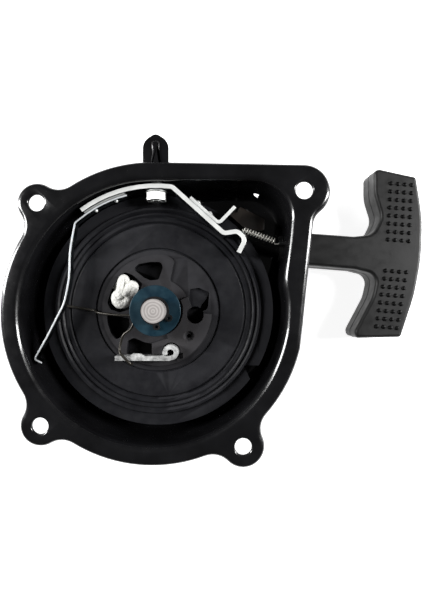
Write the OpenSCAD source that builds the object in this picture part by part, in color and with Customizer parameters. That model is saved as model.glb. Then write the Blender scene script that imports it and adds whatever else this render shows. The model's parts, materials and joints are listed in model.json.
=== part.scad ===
// Recoil starter for a small engine: a pressed steel cover with a rope reel, one pawl,
// a rope with its T-handle, and a rocking lock lever that can hold the reel.
// The shaft's axis is Z. Z = 0 is the face of the flange that bolts to the engine,
// +Z points to the engine, and +X is the side where the rope comes out.

/* [Cover] */
// Radius of the round part of the flange's edge
flange_r = 64.2; // [62.5:0.1:65]
// Inner radius of the round part of the bowl
bowl_r = 56.2; // [55.9:0.1:56.6]
// Depth from the flange's face to the inside of the floor
bowl_depth = 28.4; // [28:0.2:32]
// Thickness of the cover's sheet steel
sheet_t = 1.4; // [1.2:0.1:1.6]
// Width of the tab at the top
tab_w = 11; // [8:0.2:12]
// Y of the tab's round tip
tab_tip_y = 74.6; // [70:0.1:78]

/* [Lugs: x, y, lug radius, hole radius] */
// Top left lug
lug_top_left = [-49.5, 45.4, 8.5, 3.4]; // [-80:0.1:80]
// Top right lug, at the square corner
lug_top_right = [63, 50.7, 11.1, 3.6]; // [-80:0.1:80]
// Bottom left lug
lug_bottom_left = [-48, -48.3, 8.7, 3.4]; // [-80:0.1:80]
// Bottom right lug
lug_bottom_right = [37.3, -57, 9.1, 3.5]; // [-80:0.1:80]
// Radius of the hollow blend between a lug and the flange
lug_blend = 9; // [6:0.5:11]

/* [Shaft and washers] */
// Diameter of the fixed shaft
shaft_d = 10; // [9:0.5:10.5]
// Height of the shaft's end above the flange's face
shaft_top = 3.8; // [3:0.1:8]
// Outer diameter of the retaining washer
washer_d = 21.8; // [21:0.2:24]

/* [Reel] */
// Diameter of the reel's front flange
reel_d = 103.6; // [100:0.2:104]
// Diameter of the raised hub face
hub_d = 53.8; // [52:0.2:54]
// Radius of the bottom of the rope groove
groove_r = 31; // [30.5:0.1:31.5]
// Radial clearance between the shaft and the reel's bush
shaft_fit = 0.05; // [0.02:0.01:0.1]

/* [Rope] */
// Diameter of the starter rope
rope_d = 4.4; // [4:0.1:4.5]
// Angle of the rope and handle below the X axis
pull_angle = 4.5; // [3:0.5:6]

/* [Pawl and friction spring] */
// Thickness of the pawl's sheet steel
pawl_t = 2; // [1.8:0.1:2.4]
// Width of the pawl along the shaft
pawl_w = 5.2; // [4:0.1:5.2]
// Diameter of the friction spring's wire
wire_d = 1.1; // [0.9:0.1:1.2]

/* [Lock lever] */
// Thickness of the lever's steel strip
lever_t = 2; // [1.6:0.1:2.2]
// Width of the lever's steel strip
lever_w = 9; // [7:0.5:9]
// Thickness of the leaf spring
leaf_t = 0.8; // [0.5:0.1:0.9]
// Outer diameter of the return spring
coil_d = 3.4; // [3:0.1:3.6]

/* [Handle] */
// Height of the grip across the pull
grip_h = 75; // [70:1:80]
// Thickness of the grip
grip_t = 15.6; // [14:0.2:16]
// Width of the stem between the arms
stem_w = 14.6; // [13:0.2:16]

/* [Hidden] */
$fn = 64;
eps = 0.01;

// Cover
bowl_c = [-1, -1.2];
corner_c = [41.5, 39];
corner_r = 16;
lugs = [lug_top_left, lug_top_right, lug_bottom_left, lug_bottom_right];
right_edge_angle = -6.1;
right_edge_r = 63.5;
right_edge_end = 347;
corner_blend = 8;
lug_chord = 61.2;
corner_chord = 18.3;
back_z = -bowl_depth - sheet_t;
boss_r = 18;
boss_z = -25.2;
shelf_z = -16;
shelf_pts = [[31.2, 44.2], [34.6, 48.2], [48.2, 41.4], [47.8, 36.2], [41, 36.2], [38, 38.4]];
shelf_back_pts = [[33.6, 44.6], [35.2, 46.3], [46.8, 40.4], [46.5, 37.7], [42, 37.7], [38, 40]];
reel_gap_r = 53.8;
drain_pos = [44.9, 55.4, -26.5];
drain_size = [4.1, 4, 7.8];

// Shaft, from the collar that the recoil spring hooks on to the end
shaft_r = shaft_d / 2;
collar_r = 8.6;
collar_top = -19.6;
thrust_t = 0.7;
washer_top = -2.3;
washer_t = 1;
clip_t = 1;
clip_z = washer_top + 0.1;
rivet_r = 4;

// Reel: heights of its faces, from the shaft's boss outwards
boss_top = -3.6;
boss_out_r = 8.2;
face_in_r = 7.4;
hub_base = -12.4;
hub_top = -11.6;
block_top = -9.8;
disc_z = -13.1;
rim_top = -14.6;
rim_t = 2;
groove_top = -16.6;
groove_low = -24.6;
reel_back = -26.6;
pocket_z = -17;
web_z = -18.6;
cavity_r = 26.5;
cover_seat = -25.7;
spring_top = -19.3;
spring_w = 5.6;
spring_end_angle = 38;
bush_out_r = 6.6;
hub_r = hub_d / 2;
reel_r = reel_d / 2;

// Rope: it leaves the reel on a tangent and bends at the guide onto the pull line
rope_r = rope_d / 2;
rope_z = -20.6;
wind_r = 42.2;
tangent_angle = 74.4;
pull_origin = [59.5, 28.1];
pull_dir = [cos(pull_angle), -sin(pull_angle)];
guide_r = 4.1;
sleeve_r = 3.4;
lead_arc = [for (a = [110:-11.9:tangent_angle]) wind_r * [cos(a), sin(a)]];
lead_line = [[26, 36.7], [41, 32.5], [52, 29.3], [56, 28.4]];
lead_pull = [for (u = [4, 14, 24, 34, 46]) pull_origin + u * pull_dir];
lead_path = [for (p = concat(lead_arc, lead_line, lead_pull)) [p[0], p[1], rope_z]];

// Pawl and friction spring
pawl_pivot = [6.2, -18.2];
pawl_bar_y = -20.7;
pawl_tip_x = -17.8;
pawl_top = -5.8;
curl_r = 2.45;
curl_low = -16.6;
wire_r = wire_d / 2;
coil_mean_r = 9.2;
coil_low = -6;
coil_high = -4.4;

// Lock lever
lever_r = 53.4;
lever_top = -3.5;
lever_low = lever_top - lever_w;
lever_end_angle = 126.5;
lever_pts = [[7.2, 53, 3], [29.3, 33.1, 2.5], [35, 34, 2.5], [38.6, 30.8, 4], [35.6, 24.8, 0]];
pivot_z = -8;
bolt_r = 2.5;
bolt_fit = 0.05;
pin_x = 53.8;
pin_y = 29.6;
pin_z = -10;
spring_from = [38.9, 35.2, pin_z];
spring_to = [53.4, 29.8, pin_z];
leaf_r = 51;
leaf_top = -4.2;
leaf_w = 4.6;
leaf_pts = [
    [-34.6, 37.6, 2], [-36.9, 25, 40], [-36.9, 14, 40], [-39.2, 3.2, 14], [-46.7, -11.5, 60], [-52, -20.8, 1],
    [-48.6, -22.4, 0]
];

// Handle, in its own frame: u along the pull, v across it
grip_end = grip_h / 2;
stem_start = 0.9;
stem_h = stem_w / 2;
grip_outline = [
    [stem_start, -stem_h, 1.5], [30, -stem_h, 3], [39.9, -8.9, 5], [38.6, -19, 14], [31.6, -35.3, 3],
    [32.6, -grip_end - 0.7, 2], [52.6, -grip_end + 1.3, 1.5], [57.3, -17, 60], [59.1, 0, 70],
    [58.2, 18, 60], [53.9, grip_end - 1.4, 1.5], [34.6, grip_end + 1.3, 2.5], [35.6, 27, 20],
    [39.6, 17, 7], [36.6, 8.8, 6], [28, stem_h, 3], [stem_start, stem_h, 1.5]
];
rope_hole_r = rope_r + 0.4;
knot_pocket_r = 5;
knot_pocket_u = 47;

// Direction of a vector, and a vector turned a quarter turn
function unit(v) = v / norm(v);
function turned(v) = [-v[1], v[0]];

// Points on an arc about c, from angle a0 to a1
function arc(c, r, a0, a1, n) =
    [for (i = [0:n]) let (a = a0 + (a1 - a0) * i / n) c + r * [cos(a), sin(a)]];

// A corner at p1 rounded to radius r, between neighbours p0 and p2
function corner(p0, p1, p2, r) =
    let (u = unit(p0 - p1), v = unit(p2 - p1), half = acos(u * v) / 2)
    let (cut = min(r / tan(half), 0.48 * norm(p0 - p1), 0.48 * norm(p2 - p1)))
    let (rr = cut * tan(half), c = p1 + unit(u + v) * rr / sin(half))
    let (s = p1 + u * cut - c, e = p1 + v * cut - c)
    let (a0 = atan2(s[1], s[0]), a1 = atan2(e[1], e[0]))
    let (d = a1 - a0, turn = d > 180 ? d - 360 : d < -180 ? d + 360 : d)
    r == 0 ? [p1] : arc(c, rr, a0, a0 + turn, max(2, ceil(abs(turn) / 9)));

function flat(p) = [p[0], p[1]];
function joined(lists) = [for (l = lists) for (p = l) p];

// A closed outline, and an open path, from points [x, y, corner radius]
function rounded(pts) =
    let (n = len(pts))
    joined([for (i = [0:n - 1])
        corner(flat(pts[(i + n - 1) % n]), flat(pts[i]), flat(pts[(i + 1) % n]), pts[i][2])]);
function rounded_path(pts) =
    let (n = len(pts))
    concat([flat(pts[0])], joined([for (i = [1:n - 2])
        corner(flat(pts[i - 1]), flat(pts[i]), flat(pts[i + 1]), pts[i][2])]), [flat(pts[n - 1])]);

// One side of a strip of half thickness h about a path
function side(path, h) =
    let (n = len(path))
    [for (i = [0:n - 1])
        let (t = unit(path[min(i + 1, n - 1)] - path[max(i - 1, 0)]))
        path[i] + h * turned(t)];
module strip(path, t) {
    back = side(path, -t / 2);
    polygon(concat(side(path, t / 2), [for (i = [len(back) - 1:-1:0]) back[i]]));
}

// An annular sector
module sector(r0, r1, a0, a1) {
    n = ceil((a1 - a0) / 6);
    polygon(concat(arc([0, 0], r1, a0, a1, n), arc([0, 0], r0, a1, a0, n)));
}

// A round rod between two points
module rod(p, q, r) {
    v = q - p;
    translate(p) rotate([0, acos(v[2] / norm(v)), atan2(v[1], v[0])]) cylinder(h = norm(v), r = r);
}

// A tube of eight sides swept along a path
module tube(path, r) {
    n = len(path);
    sides = 8;
    rings = [for (i = [0:n - 1])
        let (t = unit(path[min(i + 1, n - 1)] - path[max(i - 1, 0)]), s = unit(cross([0, 0, 1], t)))
        for (k = [0:sides - 1]) path[i] + r * (cos(45 * k) * s + sin(45 * k) * cross(t, s))];
    walls = [for (i = [0:n - 2]) for (k = [0:sides - 1])
        [i * sides + k, (i + 1) * sides + k, (i + 1) * sides + (k + 1) % sides, i * sides + (k + 1) % sides]];
    ends = [[for (k = [0:sides - 1]) k], [for (k = [sides - 1:-1:0]) (n - 1) * sides + k]];
    polyhedron(rings, concat(walls, ends));
}

// Things set on the pull line, with their own X along the pull
module on_pull_line() translate([pull_origin[0], pull_origin[1], rope_z]) rotate(-pull_angle) children();
module along_pull(u, h, r) translate([u, 0, 0]) rotate([0, 90, 0]) cylinder(h = h, r = r);

// ---- Cover ----

// Angle of a vector, and the first angle at or past b that has the direction a
function heading(v) = atan2(v[1], v[0]);
function past(a, b) = a + 360 * ceil((b - a) / 360);

// The bowl's edge: the big circle, the corner circle and the two tangents between them
module bowl_outline(grow) {
    v = corner_c - bowl_c;
    a = heading(v);
    b = acos((bowl_r - corner_r) / norm(v));
    polygon(concat(
        arc(bowl_c, bowl_r + grow, a + b, a - b + 360, 46),
        arc(corner_c, corner_r + grow, a - b, a + b, 12)
    ));
}

// Centre of the hollow blend on one side (s = 1 or -1) of a lug
function blend_c(lug, s) =
    let (v = flat(lug) - bowl_c, d1 = flange_r + lug_blend, d2 = lug[2] + lug_blend)
    let (a = heading(v) + s * acos((d1 * d1 + v * v - d2 * d2) / (2 * d1 * norm(v))))
    bowl_c + d1 * [cos(a), sin(a)];

// A lug with the blends on both its sides, anticlockwise
function lug_edge(lug) =
    let (c = flat(lug), f1 = blend_c(lug, -1), f2 = blend_c(lug, 1))
    let (b1 = heading(bowl_c - f1), e1 = past(heading(c - f1), b1 - 360))
    let (l1 = heading(f1 - c), l2 = past(heading(f2 - c), l1))
    let (b2 = heading(c - f2), e2 = past(heading(bowl_c - f2), b2 - 360))
    concat(arc(f1, lug_blend, b1, e1, 5), arc(c, lug[2], l1, l2, 14), arc(f2, lug_blend, b2, e2, 5));

// The part of the flange's circle between two directions
function flange_edge(a0, a1) = arc(bowl_c, flange_r, a0, a1, ceil((a1 - a0) / 6));

// The right edge, the square corner's lug and the tangent back to the flange's circle
corner_v = flat(lug_top_right) - bowl_c;
corner_top = heading(corner_v) + acos((flange_r - lug_top_right[2]) / norm(corner_v));
function corner_edge() =
    let (n = [cos(right_edge_angle), sin(right_edge_angle)], s = turned(n))
    let (d = bowl_c + n * (right_edge_r + corner_blend) - flat(lug_top_right))
    let (reach = lug_top_right[2] + corner_blend)
    let (t = -d * s - sqrt((d * s) * (d * s) - d * d + reach * reach))
    let (f = flat(lug_top_right) + d + s * t)
    let (e = past(heading(flat(lug_top_right) - f), right_edge_angle - 180))
    let (l1 = heading(f - flat(lug_top_right)))
    concat(
        arc(f, corner_blend, right_edge_angle + 180, e, 4),
        arc(flat(lug_top_right), lug_top_right[2], l1, past(corner_top, l1), 16)
    );

function lug_side(lug, s) = heading(blend_c(lug, s) - bowl_c);
module flange_outline() {
    polygon(concat(
        corner_edge(),
        flange_edge(corner_top, lug_side(lug_top_left, -1)),
        lug_edge(lug_top_left),
        flange_edge(lug_side(lug_top_left, 1), past(lug_side(lug_bottom_left, -1), 0)),
        lug_edge(lug_bottom_left),
        flange_edge(past(lug_side(lug_bottom_left, 1), 0), past(lug_side(lug_bottom_right, -1), 0)),
        lug_edge(lug_bottom_right),
        flange_edge(past(lug_side(lug_bottom_right, 1), 0), right_edge_end)
    ));
}

// Tab that stands out from behind the top edge, with its pressed rib
tab_x = 0.4;
tab_low = -2 * sheet_t;
rib_y = [62.4, 69.6];
rib_r = 1.6;
rib_h = 0.7;
module top_tab() {
    w = tab_w / 2;
    translate([0, 0, tab_low]) linear_extrude(sheet_t) polygon(rounded([
        [tab_x - w, 58.4, 0], [tab_x + w, 58.4, 0], [tab_x + w, tab_tip_y - 2.9, 6],
        [tab_x, tab_tip_y + 0.5, 2.6], [tab_x - w, tab_tip_y - 2.9, 6]
    ]));
    translate([0, 0, tab_low + sheet_t - eps]) linear_extrude(rib_h)
        polygon(concat(
            arc([tab_x, rib_y[0]], rib_r, 180, 360, 12),
            arc([tab_x, rib_y[1]], rib_r, 0, 180, 12)
        ));
}

// The part of the flange beyond a straight line, where a lug is
module lug_zone(c, lug, d) translate(c) rotate(heading(flat(lug) - c)) translate([d, -40]) square([60, 80]);
module lug_zones() {
    for (lug = [lug_top_left, lug_bottom_left, lug_bottom_right]) lug_zone(bowl_c, lug, lug_chord);
    lug_zone(corner_c, lug_top_right, corner_chord);
}

// The raised shelf in the corner, clear of the reel
module shelf(pts, gap) difference() {
    polygon(pts);
    circle(reel_gap_r + gap);
}

// The four lugs of the flange, with the holes for the bolts
module mounting_lugs() {
    color([0.05, 0.05, 0.055]) difference() {
        translate([0, 0, -sheet_t]) linear_extrude(sheet_t) intersection() {
            flange_outline();
            lug_zones();
        }
        for (lug = lugs) translate([lug[0], lug[1], -sheet_t - 1]) cylinder(h = sheet_t + 2, r = lug[3]);
    }
}

module housing() {
    color([0.05, 0.05, 0.055]) difference() {
        union() {
            translate([0, 0, -sheet_t]) linear_extrude(sheet_t) difference() {
                flange_outline();
                lug_zones();
            }
            translate([0, 0, back_z]) linear_extrude(-back_z) bowl_outline(sheet_t);
            top_tab();
        }
        // inside of the bowl, round the boss under the shaft and the raised corner shelf
        difference() {
            translate([0, 0, -bowl_depth]) linear_extrude(bowl_depth + 1) bowl_outline(0);
            translate([0, 0, back_z]) cylinder(h = boss_z - back_z, r = boss_r);
            translate([0, 0, back_z]) linear_extrude(shelf_z - back_z) shelf(shelf_pts, 0);
        }
        // their hollow backs
        translate([0, 0, back_z - 1]) cylinder(h = boss_z - sheet_t - back_z + 1, r = boss_r - sheet_t);
        translate([0, 0, back_z - 1]) linear_extrude(shelf_z - sheet_t - back_z + 1)
            shelf(shelf_back_pts, sheet_t);
        translate([0, 0, back_z]) cylinder(h = 10, r = rivet_r);
        on_pull_line() along_pull(-6, 8, guide_r + 0.1);
        translate([0, 40, pivot_z]) rotate([-90, 0, 0]) cylinder(h = 20, r = bolt_r + 0.1);
        translate([50, pin_y, pin_z]) rotate([0, 90, 0]) cylinder(h = 12, r = 1);
        translate(drain_pos) rotate(-17) cube(drain_size, center = true);
    }
}

// ---- Shaft, washers and clip ----

module center_shaft() {
    color([0.8, 0.8, 0.8]) difference() {
        union() {
            translate([0, 0, boss_z]) cylinder(h = shaft_top - boss_z, r = shaft_r);
            translate([0, 0, boss_z]) cylinder(h = collar_top - boss_z, r = collar_r);
            translate([0, 0, boss_z - 3.4]) cylinder(h = 4, r = rivet_r);
            translate([0, 0, boss_z - 4.2]) cylinder(h = 1.3, r1 = 4.6, r2 = 5.8);
        }
        // groove for the circlip, and the slot that holds the recoil spring's inner end
        translate([0, 0, clip_z - 0.05]) difference() {
            cylinder(h = clip_t + 0.1, r = shaft_r + 1);
            cylinder(h = clip_t + 0.1, r = shaft_r - 0.5);
        }
        translate([5.6, -0.6, boss_z + 0.3]) cube([5, 1.2, 6]);
    }
}

module shaft_backing_washer() {
    color([0.7, 0.7, 0.72]) translate([0, 0, boss_z - sheet_t - 1.5]) difference() {
        cylinder(h = 1.5, r = 11);
        translate([0, 0, -1]) cylinder(h = 4, r = rivet_r);
    }
}

module reel_thrust_washer() {
    color([0.75, 0.75, 0.75]) translate([0, 0, collar_top]) difference() {
        cylinder(h = thrust_t, r = 8.4);
        translate([0, 0, -1]) cylinder(h = 3, r = shaft_r + 0.1);
    }
}

module retaining_washer() {
    color([0.25, 0.42, 0.5]) translate([0, 0, washer_top - washer_t]) difference() {
        cylinder(h = washer_t, d = washer_d);
        translate([0, 0, -1]) cylinder(h = 3, r = shaft_r + 0.1);
    }
}

module circlip() {
    ear = -55;
    spread = 28;
    color([0.1, 0.1, 0.1]) translate([0, 0, clip_z]) difference() {
        union() {
            cylinder(h = clip_t, r = shaft_r + 1.1);
            for (a = [ear - spread, ear + spread])
                rotate(a) translate([shaft_r + 1.6, 0, 0]) cylinder(h = clip_t, r = 1.6);
        }
        translate([0, 0, -1]) cylinder(h = 3, r = shaft_r - 0.45);
        for (a = [ear - spread, ear + spread])
            rotate(a) translate([shaft_r + 1.8, 0, -1]) cylinder(h = 3, r = 0.7);
        translate([0, 0, -1]) linear_extrude(3) sector(2, 12, ear - 17, ear + 17);
    }
}

// ---- Reel ----

reel_profile = [
    [bush_out_r, web_z], [bush_out_r, boss_top], [boss_out_r, boss_top], [boss_out_r, hub_base],
    [hub_r, hub_base], [hub_r + 0.2, disc_z - 0.6], [hub_r + 0.8, disc_z - 0.6],
    [hub_r + 1.1, disc_z], [38.2, disc_z + 0.1], [38.6, disc_z - 0.1], [39.2, -14.2],
    [40, -13.3], [41.3, -13.3], [42.1, -14], [42.9, -13.4], [43.5, -13.4], [44, -14.5],
    [45.2, -13.4], [46.2, -13.4], [46.8, rim_top], [reel_r, rim_top], [reel_r, rim_top - rim_t],
    [groove_r, groove_top - 0.6], [groove_r, groove_low + 0.6], [reel_r - 1, groove_low],
    [reel_r - 1, reel_back], [28.6, reel_back], [28.6, cover_seat], [cavity_r, cover_seat],
    [cavity_r, web_z]
];

// Openings of the hub, as [x, y, corner radius]
top_window = [
    [-10.9, 18.3, 1.2], [-8.7, 20.6, 2], [-3.3, 21.6, 6], [1.6, 21.5, 1.8], [2.3, 19, 2],
    [0.4, 13.7, 1.2], [-3.4, 13.3, 3], [-6.2, 14.6, 3]
];
left_window = [
    [-22.7, -1.8, 1], [-12.8, -3.6, 0.8], [-12.4, -6.6, 1.2], [-14.6, -10.8, 2],
    [-18.6, -13.1, 1.2], [-20.8, -10.2, 3], [-22.3, -6, 6]
];
low_window = [
    [-13.4, -13.6, 1], [-10.6, -12.2, 2], [-6, -14.2, 4], [-2.6, -14.8, 0.6],
    [-2.6, -19.6, 0.4], [-14, -19.6, 1]
];
knot_pocket = [
    [-22.4, 3.6, 1.5], [-20.6, 9.6, 4], [-16.9, 15.4, 3], [-14.6, 17, 1.5], [-11.3, 15.8, 3],
    [-6.8, 11.9, 1], [-7.6, 9.6, 1], [-10.6, 5, 2], [-12.6, 0.4, 2], [-16.9, -1, 2], [-21.2, 0.5, 2]
];

module reel() {
    color([0.09, 0.09, 0.1]) difference() {
        union() {
            rotate_extrude() polygon(reel_profile);
            // raised face round the windows, with the arm beside the washer
            translate([0, 0, hub_base - eps]) linear_extrude(hub_top - hub_base) difference() {
                polygon(concat([[6, 12.8], [5.6, 13.6], [7.3, 21.8], [6.3, 23.2]],
                    arc([0, 0], 24.8, 80, 334, 44), arc([0, 0], 14.2, 334, 425, 16)));
                circle(face_in_r);
            }
            // thick block that carries the pawls
            translate([0, 0, hub_base - eps]) linear_extrude(block_top - hub_base) {
                polygon(concat(arc([0, 0], 24.2, -69, -4, 12), arc([0, 0], 15.4, -4, 24, 6),
                    arc([0, 0], 11.4, 24, -69, 16)));
                polygon([[-2.3, -14.6], [-2.3, -19.6], [6, -19.6], [6, -12]]);
            }
        }
        for (w = [top_window, left_window, low_window])
            translate([0, 0, pocket_z]) linear_extrude(10) polygon(rounded(w));
        // pocket of the rope's knot, and the hole from it to the rope groove
        translate([0, 0, pocket_z]) linear_extrude(10) polygon(rounded(knot_pocket));
        rod([-17.5, 9.8, -14.8], [-30.5, 17.6, -20.7], rope_r + 0.5);
        // the spare pawl seat: its round hole, slot and fan
        translate([0, 0, hub_base - 1.3]) linear_extrude(10)
            polygon([[14.4, 9.5], [13.8, 5], [15.6, 0], [20.2, 1.4], [21.2, 4.2], [22.9, 8.1], [18.4, 10]]);
        translate([16.7, -2.1, pocket_z]) cylinder(h = 10, r = 3.8);
        translate([0, 0, pocket_z]) linear_extrude(10)
            polygon([
                [18.2, -1], [19.4, 2.4], [21.2, 4.4], [22.9, 8],
                [22.7, 4.4], [22.2, 0.8], [19.9, -0.6]
            ]);
        // pocket of the fitted pawl: round its curl, and open along its bar
        translate([pawl_pivot[0], pawl_pivot[1], pocket_z]) cylinder(h = 10, r = curl_r + pawl_t / 2 + 0.6);
        translate([0, 0, -11.4]) linear_extrude(6)
            polygon([[11.4, -18.6], [11.2, -23.2], [-6, -34], [-24, -31], [-24, -18.2], [-2.6, -18.2],
                [-2.6, -19.4], [4, -19.4]]);
        // small countersunk hole, and the stop notch in the front flange
        translate([14, -11.4, pocket_z]) cylinder(h = 10, r = 0.9);
        translate([14, -11.4, block_top - 1.4]) cylinder(h = 1.5, r1 = 1.5, r2 = 2.5);
        translate([0, 0, groove_top - 1]) linear_extrude(5)
            polygon([[38.6, -25], [52, -25], [50, -40], [42.4, -33.4]]);
        // slot that holds the recoil spring's outer end
        translate([0, 0, reel_back - 1]) linear_extrude(spring_top + 0.4 - reel_back + 1)
            rotate(spring_end_angle) translate([25.5, -1.2]) square([4, 2.4]);
    }
}

module reel_bush() {
    color([0.62, 0.55, 0.38]) translate([0, 0, web_z]) difference() {
        cylinder(h = boss_top - web_z, r = bush_out_r);
        translate([0, 0, -1]) cylinder(h = 30, r = shaft_r + shaft_fit);
    }
}

// Flat spiral spring, with its ends bent into the reel and towards the shaft's collar
module recoil_spring() {
    turns = 6;
    r0 = 10.2;
    r1 = 25.2;
    step = 15;
    n = turns * 360 / step;
    spiral = [for (i = [0:n])
        let (a = spring_end_angle - 360 * turns + i * step, r = r0 + (r1 - r0) * pow(i / n, 1.4))
        r * [cos(a), sin(a)]];
    tail = [27.4 * [cos(spring_end_angle), sin(spring_end_angle)]];
    color([0.35, 0.36, 0.4]) translate([0, 0, spring_top - spring_w]) linear_extrude(spring_w)
        strip(concat(spiral, tail), 0.6);
}

module spring_cover() {
    color([0.55, 0.56, 0.58]) translate([0, 0, reel_back + 0.1]) difference() {
        cylinder(h = cover_seat - reel_back - 0.1, r = 28.5);
        translate([0, 0, -1]) cylinder(h = 3, r = 19.2);
        for (a = [0:120:240]) rotate(a + 80) translate([27.5, 0, -1]) cylinder(h = 3, r = 0.75);
    }
}

module spring_cover_rivets() {
    color([0.7, 0.7, 0.7]) for (a = [0:120:240]) rotate(a + 80) translate([27.5, 0, reel_back - 0.5]) {
        cylinder(h = 0.6, r = 1);
        cylinder(h = 3.4, r = 0.7);
    }
}

// ---- Rope ----

module rope_wound() {
    color([0.92, 0.92, 0.9]) rotate_extrude()
        translate([groove_r + 0.1, -23.4]) square([39.3 - groove_r, 5.6]);
}

module rope_lead() {
    color([0.92, 0.92, 0.9]) tube(lead_path, rope_r);
}

// The knot's outer shape in its pocket, and the end of the rope that runs to it from the groove
module rope_knot() {
    color([0.92, 0.92, 0.9]) {
        hull() {
            translate([-15.2, 4.4, -11]) sphere(4.2, $fn = 20);
            translate([-12.6, 9.6, -11]) sphere(3.4, $fn = 20);
            translate([-16, 13.4, -11.6]) sphere(2.2, $fn = 16);
        }
        tube([
            [-16.4, 8.6, -14.2], [-18.8, 10.6, -15.4], [-22.6, 12.9, -17.2], [-25.6, 14.7, -18.5]
        ], rope_r - 0.1);
    }
}

// Moulded guide in the wall, with the sleeve that leads the rope to the reel's edge
module rope_guide() {
    wall_end = [57, 28.1, rope_z];
    reel_end = [44.4, 31.7, rope_z];
    past_wall = wall_end + 0.2 * (wall_end - reel_end);
    past_reel = reel_end + 0.2 * (reel_end - wall_end);
    color([0.1, 0.1, 0.1]) difference() {
        union() {
            rod(wall_end, reel_end, sleeve_r);
            on_pull_line() {
                along_pull(-4.4, 5.1, guide_r);
                along_pull(-4.4, 1.3, 6);
                along_pull(-0.75, 1.4, 6.5);
            }
        }
        rod(past_wall, past_reel, rope_r + 0.55);
        on_pull_line() along_pull(-4, 8, rope_r + 0.7);
    }
}

// ---- Pawl and friction spring ----

module pawl() {
    hook = concat(
        arc(pawl_pivot, curl_r, 205, 45, 8), arc(pawl_pivot, curl_r, 30, -50, 5),
        [[pawl_pivot[0] - 0.6, pawl_bar_y], [-9, pawl_bar_y], [pawl_tip_x, pawl_bar_y]]
    );
    color([0.85, 0.85, 0.82]) translate([0, 0, pawl_top - pawl_w]) {
        linear_extrude(pawl_w) strip(hook, pawl_t);
        translate([0, 0, curl_low - pawl_top + pawl_w]) linear_extrude(pawl_top - pawl_w - curl_low + 0.5)
            strip(arc(pawl_pivot, curl_r, 196, -36, 12), pawl_t - 0.2);
        translate([0, 0, pawl_w - 1.6]) linear_extrude(1.4)
            polygon([
                [-5, pawl_bar_y + 1], [-6.6, pawl_bar_y + 2],
                [-10, pawl_bar_y + 2.2], [-11.4, pawl_bar_y + 1]
            ]);
    }
}

// One wire: the long drag arm, two turns round the reel's boss, and the arm that hooks the pawl
module friction_spring() {
    drag_arm = [
        [-41.2, 2, -11.9], [-33.5, 0.8, -11.8], [-28.2, -0.1, -11.6], [-26, -1, -9.6], [-18, -1.9, -7.4]
    ];
    turns = [for (i = [0:24])
        let (a = 196 + i * 30, z = coil_low + (coil_high - coil_low) * i / 24)
        [coil_mean_r * cos(a), coil_mean_r * sin(a), z]];
    pawl_arm = [
        [-10.5, -7.6, -4.6], [-13.9, -10.4, -5.3], [-15.4, -14.4, -6], [-15.7, -16.8, -6],
        [-15.4, -18.2, -5.2], [-14.6, -19.2, -4.9], [-11.6, -22.2, -4.9], [-10.9, -23.1, -5.6],
        [-10.6, -23.3, -8]
    ];
    color([0.45, 0.44, 0.4]) tube(concat(drag_arm, turns, pawl_arm), wire_r);
}

// ---- Lock lever ----

lever_path = concat(
    arc([0, 0], lever_r, lever_end_angle, 88, 8),
    rounded_path(concat([[lever_r * cos(86), lever_r * sin(86), 0]], lever_pts))
);
brace_dir = unit([22.1, -19.9]);
brace_out = turned(brace_dir);
brace_start = [7.2, 53] + 8.6 * brace_dir;
brace_len = 16.6;
brace_t = 1.6;

module lock_lever() {
    color([0.86, 0.86, 0.84]) translate([0, 0, lever_low]) difference() {
        linear_extrude(lever_w) strip(lever_path, lever_t);
        translate([0, 40, pivot_z - lever_low]) rotate([-90, 0, 0]) cylinder(h = 20, r = bolt_r + bolt_fit);
    }
}

module lever_bracket() {
    off = (lever_t + brace_t) / 2;
    base = brace_start + off * brace_out;
    bend = base + brace_len * brace_dir;
    path = rounded_path([[base[0], base[1], 0], [bend[0], bend[1], 1.6], [bend[0] + 7, bend[1] + 7.2, 0]]);
    color([0.86, 0.86, 0.84]) translate([0, 0, lever_low + 1])
        linear_extrude(lever_w - 1.5) strip(path, brace_t);
}

// Round heads of the rivets through the lever and the bracket
module lever_bracket_rivets() {
    color([0.8, 0.8, 0.78]) for (s = [3.5, 10.5]) {
        p = brace_start + s * brace_dir + (lever_t / 2 + brace_t - 0.2) * brace_out;
        translate([p[0], p[1], pivot_z]) sphere(1.4);
    }
}

leaf_path = concat(
    arc([0, 0], leaf_r, 104, 129, 6),
    rounded_path(concat([[leaf_r * cos(130), leaf_r * sin(130), 0]], leaf_pts))
);

module leaf_spring() {
    color([0.8, 0.82, 0.82]) translate([0, 0, leaf_top - leaf_w])
        linear_extrude(leaf_w) strip(leaf_path, leaf_t);
}

module leaf_clamp_plate() {
    gap = 0.1;
    plate_t = lever_r - lever_t / 2 - (leaf_r + leaf_t / 2) - 2 * gap;
    plate_r = leaf_r + leaf_t / 2 + gap + plate_t / 2;
    color([0.6, 0.62, 0.62]) translate([0, 0, leaf_top - leaf_w - 0.4]) linear_extrude(leaf_w + 0.6)
        strip(arc([0, 0], plate_r, 105, 126, 6), plate_t);
}

module leaf_spring_rivets() {
    color([0.8, 0.8, 0.78]) for (a = [110, 121])
        rotate(a) translate([leaf_r - leaf_t / 2, 0, leaf_top - leaf_w / 2]) sphere(0.8);
}

module lever_pivot_bolt() {
    color([0.7, 0.7, 0.68]) translate([0, 0, pivot_z]) rotate([-90, 0, 0]) {
        translate([0, 0, 47.4]) cylinder(h = 11, r = bolt_r);
        translate([0, 0, bowl_r + bowl_c[1] + sheet_t]) cylinder(h = 1, r = 5);
        translate([0, 0, bowl_r + bowl_c[1] + sheet_t + 1]) rotate(30) cylinder(h = 3.4, r = 4.6, $fn = 6);
    }
}

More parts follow.
